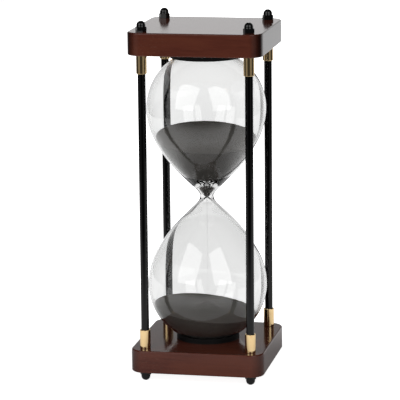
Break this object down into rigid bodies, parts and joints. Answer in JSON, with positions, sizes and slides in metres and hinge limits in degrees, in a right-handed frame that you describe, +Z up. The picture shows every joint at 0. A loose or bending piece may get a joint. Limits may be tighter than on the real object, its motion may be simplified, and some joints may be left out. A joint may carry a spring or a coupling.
{
  "type": "hourglass",
  "caption": "Tall hourglass: one two-bulb glass with black sand, held between square stained-wood plates by black corner posts with brass ferrules and domed cap nuts.",
  "frame": {"origin": "bottom centre, on the axis of the glass, level with the crowns of the lower cap nuts that it stands on", "axes": "+Z up along the axis of the glass, +X to the right and -Y to the front, both square to the plates' sides"},
  "size_m": [0.11, 0.11, 0.2963],
  "materials": {
    "stained_wood": "gloss lacquer over reddish-brown stain",
    "clear_glass": "clear, polished",
    "stopper_rubber": "matte",
    "black_rubber": "satin",
    "felt": "matte felt",
    "black_sand": "fine dark grains",
    "black_enamel": "semi-gloss black",
    "rod_steel": "plain zinc-plated steel",
    "polished_brass": "polished",
    "black_chrome": "gloss black"
  },
  "bodies": {
    "root": {"top_plate": "stained_wood", "bottom_plate": "stained_wood", "glass_bulbs": "clear_glass", "fill_stopper": "stopper_rubber", "upper_seat_ring": "black_rubber", "lower_seat_ring": "black_rubber", "upper_cushion_pad": "felt", "lower_cushion_pad": "felt", "upper_sand": "black_sand", "lower_sand": "black_sand", "sand_stream": "black_sand", "post_tube_front_left": "black_enamel", "tie_rod_front_left": "rod_steel", "upper_ferrule_front_left": "polished_brass", "lower_ferrule_front_left": "polished_brass", "upper_cap_nut_front_left": "black_chrome", "lower_cap_nut_front_left": "black_chrome", "post_tube_front_right": "black_enamel", "tie_rod_front_right": "rod_steel", "upper_ferrule_front_right": "polished_brass", "lower_ferrule_front_right": "polished_brass", "upper_cap_nut_front_right": "black_chrome", "lower_cap_nut_front_right": "black_chrome", "post_tube_back_left": "black_enamel", "tie_rod_back_left": "rod_steel", "upper_ferrule_back_left": "polished_brass", "lower_ferrule_back_left": "polished_brass", "upper_cap_nut_back_left": "black_chrome", "lower_cap_nut_back_left": "black_chrome", "post_tube_back_right": "black_enamel", "tie_rod_back_right": "rod_steel", "upper_ferrule_back_right": "polished_brass", "lower_ferrule_back_right": "polished_brass", "upper_cap_nut_back_right": "black_chrome", "lower_cap_nut_back_right": "black_chrome"}
  },
  "joints": []
}
